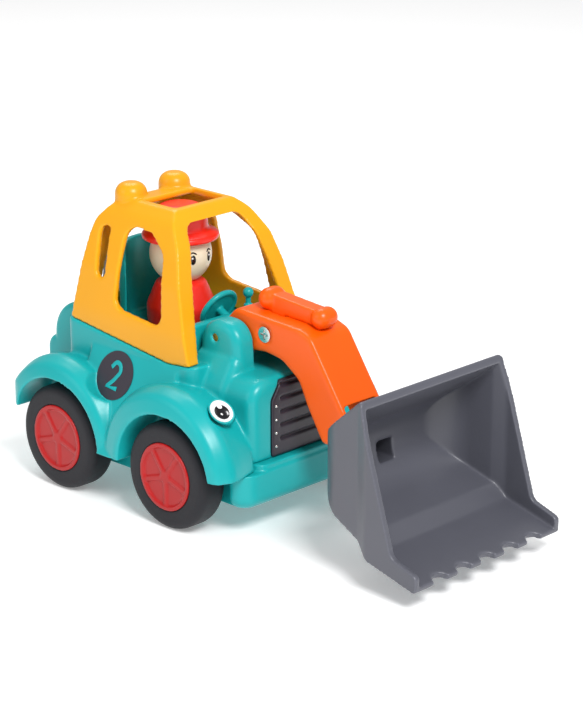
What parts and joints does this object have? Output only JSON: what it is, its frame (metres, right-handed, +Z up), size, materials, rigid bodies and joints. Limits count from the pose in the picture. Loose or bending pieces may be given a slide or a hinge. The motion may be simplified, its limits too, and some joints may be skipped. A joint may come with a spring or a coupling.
{
  "type": "toy backhoe loader",
  "caption": "Chunky toy backhoe loader with an open cab and driver, a raised front loader arm with a toothed bucket, rolling wheels and a small folded rear digger.",
  "frame": {"origin": "centre of the bounding box's bottom face, on the ground under the toy", "axes": "+X forward towards the loader bucket, +Y to the driver's left, +Z up"},
  "size_m": [0.27, 0.12, 0.1485],
  "materials": {
    "charcoal_abs": "moulded ABS, satin",
    "doll_cream": "soft vinyl",
    "doll_red": "soft vinyl",
    "grey_pp": "moulded polypropylene, satin",
    "orange_abs": "moulded ABS, soft gloss",
    "red_abs": "moulded ABS, soft gloss",
    "teal_abs": "moulded ABS, soft gloss",
    "tyre_rubber": "matt rubber",
    "white_abs": "moulded ABS, gloss",
    "yellow_abs": "moulded ABS, soft gloss",
    "zinc_steel": "zinc-plated steel"
  },
  "bodies": {
    "chassis": {"chassis_base": "teal_abs", "chassis_screws": "zinc_steel", "body_shell": "teal_abs", "front_grille": "charcoal_abs", "grille_rivets": "zinc_steel", "number_badges": "charcoal_abs", "eye_inserts": "white_abs", "cab_shell": "yellow_abs", "seat": "teal_abs", "dashboard": "teal_abs", "control_lever": "teal_abs", "driver_body": "doll_red", "driver_head": "doll_cream", "driver_hat": "doll_red", "arm_pin": "zinc_steel", "boom_pin": "zinc_steel"},
    "steering": {"steering_wheel": "teal_abs"},
    "loader_arm": {"loader_arm": "orange_abs", "ram_cover": "orange_abs", "ram_screw": "zinc_steel", "bucket_pin": "zinc_steel"},
    "loader_bucket": {"loader_bucket": "grey_pp"},
    "front_wheels": {"front_axle": "zinc_steel", "front_left_hub": "red_abs", "front_left_tyre": "tyre_rubber", "front_right_hub": "red_abs", "front_right_tyre": "tyre_rubber"},
    "rear_wheels": {"rear_axle": "zinc_steel", "rear_left_hub": "red_abs", "rear_left_tyre": "tyre_rubber", "rear_right_hub": "red_abs", "rear_right_tyre": "tyre_rubber"},
    "boom": {"backhoe_boom": "grey_pp", "stick_pin": "zinc_steel"},
    "stick": {"backhoe_stick": "grey_pp", "backhoe_bucket_pin": "zinc_steel"},
    "hoe_bucket": {"backhoe_bucket": "grey_pp"}
  },
  "joints": [
    {"name": "arm_lift", "type": "hinge", "parent": "chassis", "child": "loader_arm", "pos_m": [-0.01434, 0, 0.087], "axis": [0, -1, 0], "range_deg": [-3, 50]},
    {"name": "bucket_tilt", "type": "hinge", "parent": "loader_arm", "child": "loader_bucket", "pos_m": [0.05366, 0, 0.054], "axis": [0, -1, 0], "range_deg": [-35, 35]},
    {"name": "boom_swing", "type": "hinge", "parent": "chassis", "child": "boom", "pos_m": [-0.11154, 0, 0.067], "axis": [0, -1, 0], "range_deg": [0, 45]},
    {"name": "stick_swing", "type": "hinge", "parent": "boom", "child": "stick", "pos_m": [-0.10554, 0, 0.107], "axis": [0, 1, 0], "range_deg": [0, 100]},
    {"name": "hoe_bucket_curl", "type": "hinge", "parent": "stick", "child": "hoe_bucket", "pos_m": [-0.12254, 0, 0.076], "axis": [0, 1, 0], "range_deg": [0, 80]},
    {"name": "front_axle_spin", "type": "hinge", "parent": "chassis", "child": "front_wheels", "pos_m": [-0.01484, 0, 0.026], "axis": [0, 1, 0], "continuous": true},
    {"name": "rear_axle_spin", "type": "hinge", "parent": "chassis", "child": "rear_wheels", "pos_m": [-0.09134, 0, 0.026], "axis": [0, 1, 0], "continuous": true},
    {"name": "steering_turn", "type": "hinge", "parent": "chassis", "child": "steering", "pos_m": [-0.03684, 0, 0.091], "axis": [-0.8829, 0, 0.4695], "continuous": true}
  ]
}
